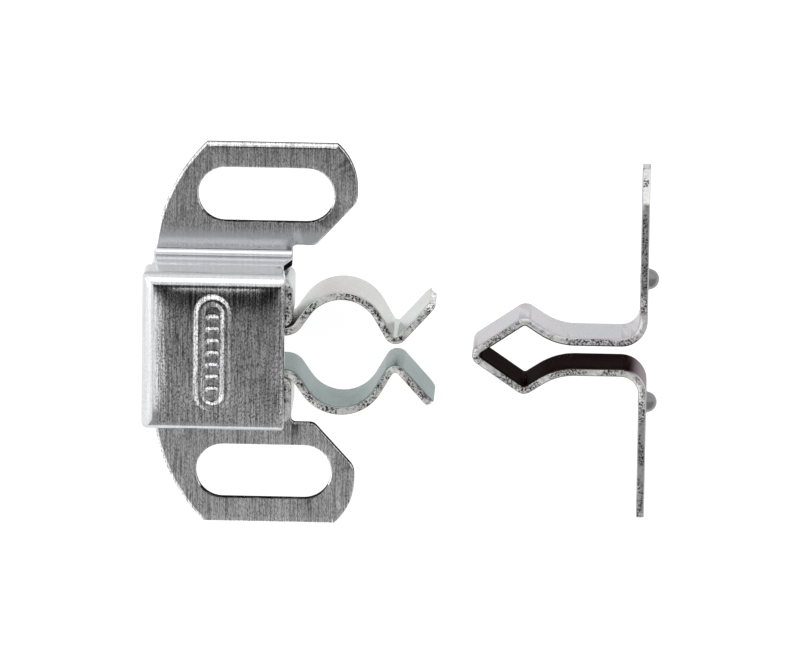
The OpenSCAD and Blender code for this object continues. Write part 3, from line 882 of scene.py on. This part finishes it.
def buildCover(v):
    bm = bmesh.new()
    radii = [v["bend"], v["bend"], v["roll"], v["bend"]]
    rings = []
    lows = [v["base"], v["base"], v["top"] - v["roll"] - v["lip"], v["base"]]
    highs = [v["top"] - r for r in radii]
    for share in (0, 0.33, 0.66, 1):
        rings.append(coverRing(v, [0] * 4, [a + (b - a) * share for a, b in zip(lows, highs)],
                               v["cornerRadius"]))
    steps = v["steps"]
    for k in range(1, steps + 1):
        a = math.pi / 2 * k / steps
        insets = [r * (1 - math.cos(a)) for r in radii]
        heights = [v["top"] - r + r * math.sin(a) for r in radii]
        corner = max(v["tightCorner"], v["cornerRadius"] - v["cornerLoss"] * k / steps)
        rings.append(coverRing(v, insets, heights, corner))
    made = [[bm.verts.new(p) for p in ring] for ring in rings]
    count = len(made[0])
    for low, high in zip(made, made[1:]):
        for i in range(count):
            j = (i + 1) % count
            bm.faces.new((low[i], low[j], high[j], high[i]))
    inner = [Vector(p[:2]) for p in rings[-1]]
    edges = [(i, (i + 1) % count) for i in range(count)]
    x0, x1 = v["left"] + v["bend"], v["right"] - v["roll"]
    y1 = v["half"] - v["bend"]
    margin = v["gridMargin"]
    xs = np.linspace(x0 + margin, x1 - margin, int((x1 - x0) / v["grid"]))
    ys = np.linspace(-y1 + margin, y1 - margin, int(2 * y1 / v["grid"]))
    cloud = [Vector((x, y)) for x in xs for y in ys]
    points, _, triangles, *_ = delaunay_2d_cdt(inner + cloud, edges, [], 2, tiny)
    top = [bm.verts.new((p[0], p[1], v["top"])) for p in points]
    for t in triangles:
        bm.faces.new([top[i] for i in t])
    bmesh.ops.remove_doubles(bm, verts=bm.verts, dist=mergeDistance)
    bmesh.ops.recalc_face_normals(bm, faces=bm.faces)
    for vert in bm.verts:
        if vert.co.z > v["top"] - mergeDistance:
            # the face is a little crowned, most of all along its upper and lower bend
            acrossX = min(1, abs(2 * vert.co.x - x0 - x1) / (x1 - x0))
            acrossY = min(1, abs(vert.co.y) / y1)
            vert.co.z += v["crownY"] * (1 - acrossY ** 4) * (1 - acrossX ** 8)
            vert.co.z += v["crownX"] * (1 - acrossX ** 4) * (1 - acrossY ** 8)
            vert.co.z += faceRelief(vert.co.x, vert.co.y, v)
    for face in bm.faces:
        face.smooth = True
    bmesh.ops.scale(bm, verts=bm.verts, vec=(millimetre,) * 3)
    cap = addMesh("coverCap", bm)
    cap.data.materials.append(coverZinc)
    wall = cap.modifiers.new("wall", "SOLIDIFY")
    wall.thickness = v["thickness"] * millimetre
    wall.offset = -1
    wall.use_even_offset = True
    soften = cap.modifiers.new("soften", "BEVEL")
    soften.width = v["edgeBevel"] * millimetre
    soften.segments = 2
    soften.limit_method = "ANGLE"
    soften.angle_limit = math.radians(60)
    weigh = cap.modifiers.new("weigh", "WEIGHTED_NORMAL")
    weigh.keep_sharp = True
    return bakeObject(cap, "coverCap")


def buildTab(v, side):
    t = v["thickness"]
    points, lengths, foldLines = followPath(
        [(v["tabDrop"], 0), (90, v["tabBend"]), (v["tabReach"], 0)],
        (v["left"] + t / 2, v["base"] + v["tabLap"]), -math.pi / 2)
    centre = side * v["tabY"]
    a, b, end = centre - v["tabWidth"] / 2, centre + v["tabWidth"] / 2, lengths[-1]
    r = v["tabRound"]
    outline = filletLoop([(0, -b, 0.05), (end, -b, r), (end, -a, r), (0, -a, 0.05)])
    blank = flatBlank("tabBlank", [densify(outline, v["tabStep"])], t - v["tabThinner"],
                      frameValues["rim"], foldLines)
    return foldSheet("coverTab", blank, [(p[0], 0, p[1]) for p in points], (0, -1, 0),
                     (coverZinc, frameCutEdgeShade, coverZinc))


pressedCover = joinMeshes("pressedCover", [buildCover(coverValues), buildTab(coverValues, 1),
                                           buildTab(coverValues, -1)])
print("cover pressed:", len(pressedCover.data.polygons), "faces")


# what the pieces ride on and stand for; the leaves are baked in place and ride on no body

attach(slottedFrame, "catch")
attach(clipBosses, "catch")
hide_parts("frame")
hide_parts("frame")
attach(pressedCover, "catch")
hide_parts("cover")
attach(springClip, "catch")
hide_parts("spring_clip")
for leaf, body, side in ((upperLeaf, "upper_leaf", 1), (lowerLeaf, "lower_leaf", -1)):
    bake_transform(leaf)
    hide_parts(body)
for piece in (spearStrike, strikeNibs):
    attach(piece, "strike")
    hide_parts("strike")


# floor, light and camera

stageValues = {
    "floorZ": -0.0003, "floorSize": 3.0, "floorShade": 0.3, "floorGlow": 0.9, "hoodShade": 0.03,
    # each side of the tent: direction, where its light starts and is full (degrees), and its brightness
    "upperSide": ((0, 1, 0), 3, 9, 1.2), "lowerSide": ((0, -1, 0), 6, 15, 0.5),
    "leftSide": ((-1, 0, 0), 9, 18, 1.3), "rightSide": ((1, 0, 0), 12, 26, 0.75),
}
floorMesh = bpy.data.meshes.new("floor")
reach = stageValues["floorSize"]
floorMesh.from_pydata([(-reach, -reach, stageValues["floorZ"]), (reach, -reach, stageValues["floorZ"]),
                       (reach, reach, stageValues["floorZ"]), (-reach, reach, stageValues["floorZ"])],
                      [], [(0, 1, 2, 3)])
floor = addObject("floor", floorMesh)
floorFinish = bpy.data.materials.new("paleFloor")
floorFinish.use_nodes = True
floorShader = floorFinish.node_tree.nodes["Principled BSDF"]
setSockets(floorShader, {
    "Base Color": (*plainGrey(stageValues["floorShade"]), 1), "Roughness": 0.9, "Specular IOR Level": 0.1,
    "Emission Color": (1, 1, 1, 1), "Emission Strength": stageValues["floorGlow"]})
floorMesh.materials.append(floorFinish)


def makeSky(v):
    # a tent lit from its sides round a dark hood overhead; the camera sees it plain white
    world = bpy.data.worlds.new("tent")
    world.use_nodes = True
    nodes, links = world.node_tree.nodes, world.node_tree.links
    nodes.clear()
    out, tent, plain = (nodes.new("ShaderNodeOutputWorld"), nodes.new("ShaderNodeBackground"),
                        nodes.new("ShaderNodeBackground"))
    choose, rays = nodes.new("ShaderNodeMixShader"), nodes.new("ShaderNodeLightPath")
    coords = nodes.new("ShaderNodeTexCoord")
    brightest = 0.0
    for side in ("upperSide", "lowerSide", "leftSide", "rightSide"):
        direction, begin, full, level = v[side]
        dot, shade = nodes.new("ShaderNodeVectorMath"), nodes.new("ShaderNodeMapRange")
        dot.operation = "DOT_PRODUCT"
        dot.inputs[1].default_value = direction
        shade.interpolation_type = "SMOOTHSTEP"
        setSockets(shade, {"From Min": math.sin(math.radians(begin)), "To Min": v["hoodShade"],
                           "From Max": math.sin(math.radians(full)), "To Max": level})
        links.new(coords.outputs["Generated"], dot.inputs[0])
        links.new(dot.outputs["Value"], shade.inputs["Value"])
        brightest = mathNode(nodes, links, "MAXIMUM", brightest, shade.outputs["Result"])
    links.new(brightest, tent.inputs["Color"])
    setSockets(plain, {"Color": (1, 1, 1, 1)})
    links.new(rays.outputs["Is Camera Ray"], choose.inputs["Fac"])
    links.new(tent.outputs["Background"], choose.inputs[1])
    links.new(plain.outputs["Background"], choose.inputs[2])
    links.new(choose.outputs["Shader"], out.inputs["Surface"])
    bpy.context.scene.world = world


makeSky(stageValues)


def softLight(name, direction, distance, width, height, radiance):
    # a square metre of radiance 1 gives off pi watts
    data = bpy.data.lights.new(name, "AREA")
    data.shape = "RECTANGLE"
    data.size, data.size_y = width, height
    data.energy = radiance * math.pi * width * height
    light = addObject(name, data)
    away = Vector(direction).normalized()
    light.location = away * distance
    light.rotation_mode = "QUATERNION"
    light.rotation_quaternion = (-away).to_track_quat("-Z", "Y")
    light.visible_camera = False
    return light


# direction, distance, width, height and radiance, in metres
lightValues = {"topBox": ((0.0, 1.0, 0.8), 1.2, 1.6, 0.8, 0.9),
               "leftBox": ((-1.0, 0.15, 0.6), 1.2, 0.8, 1.2, 0.7)}
for lightName, values in lightValues.items():
    softLight(lightName, *values)

cameraValues = {
    "target": (0.0135, 0.0001, 0.0), "towardsUpper": 12.5, "towardsRight": 1.5, "roll": 0.8,
    "distance": 0.9, "width": 0.080,
}


def makeCamera(v):
    data = bpy.data.cameras.new("camera")
    data.sensor_width = 36
    data.lens = 36 * v["distance"] / v["width"]
    data.clip_start, data.clip_end = 0.05, 10
    camera = addObject("camera", data)
    a, e = math.radians(v["towardsRight"]), math.radians(v["towardsUpper"])
    back = Vector((math.sin(a), math.cos(a) * math.sin(e), math.cos(a) * math.cos(e)))
    right = Vector((0, 1, 0)).cross(back).normalized()
    up = back.cross(right)
    turn = Matrix((right, up, back)).transposed() @ Matrix.Rotation(math.radians(v["roll"]), 3, "Z")
    camera.matrix_world = Matrix.Translation(Vector(v["target"]) + back * v["distance"]) @ turn.to_4x4()
    bpy.context.scene.camera = camera


makeCamera(cameraValues)
bpy.context.scene.view_settings.view_transform = "Standard"
print("floor, light and camera placed")
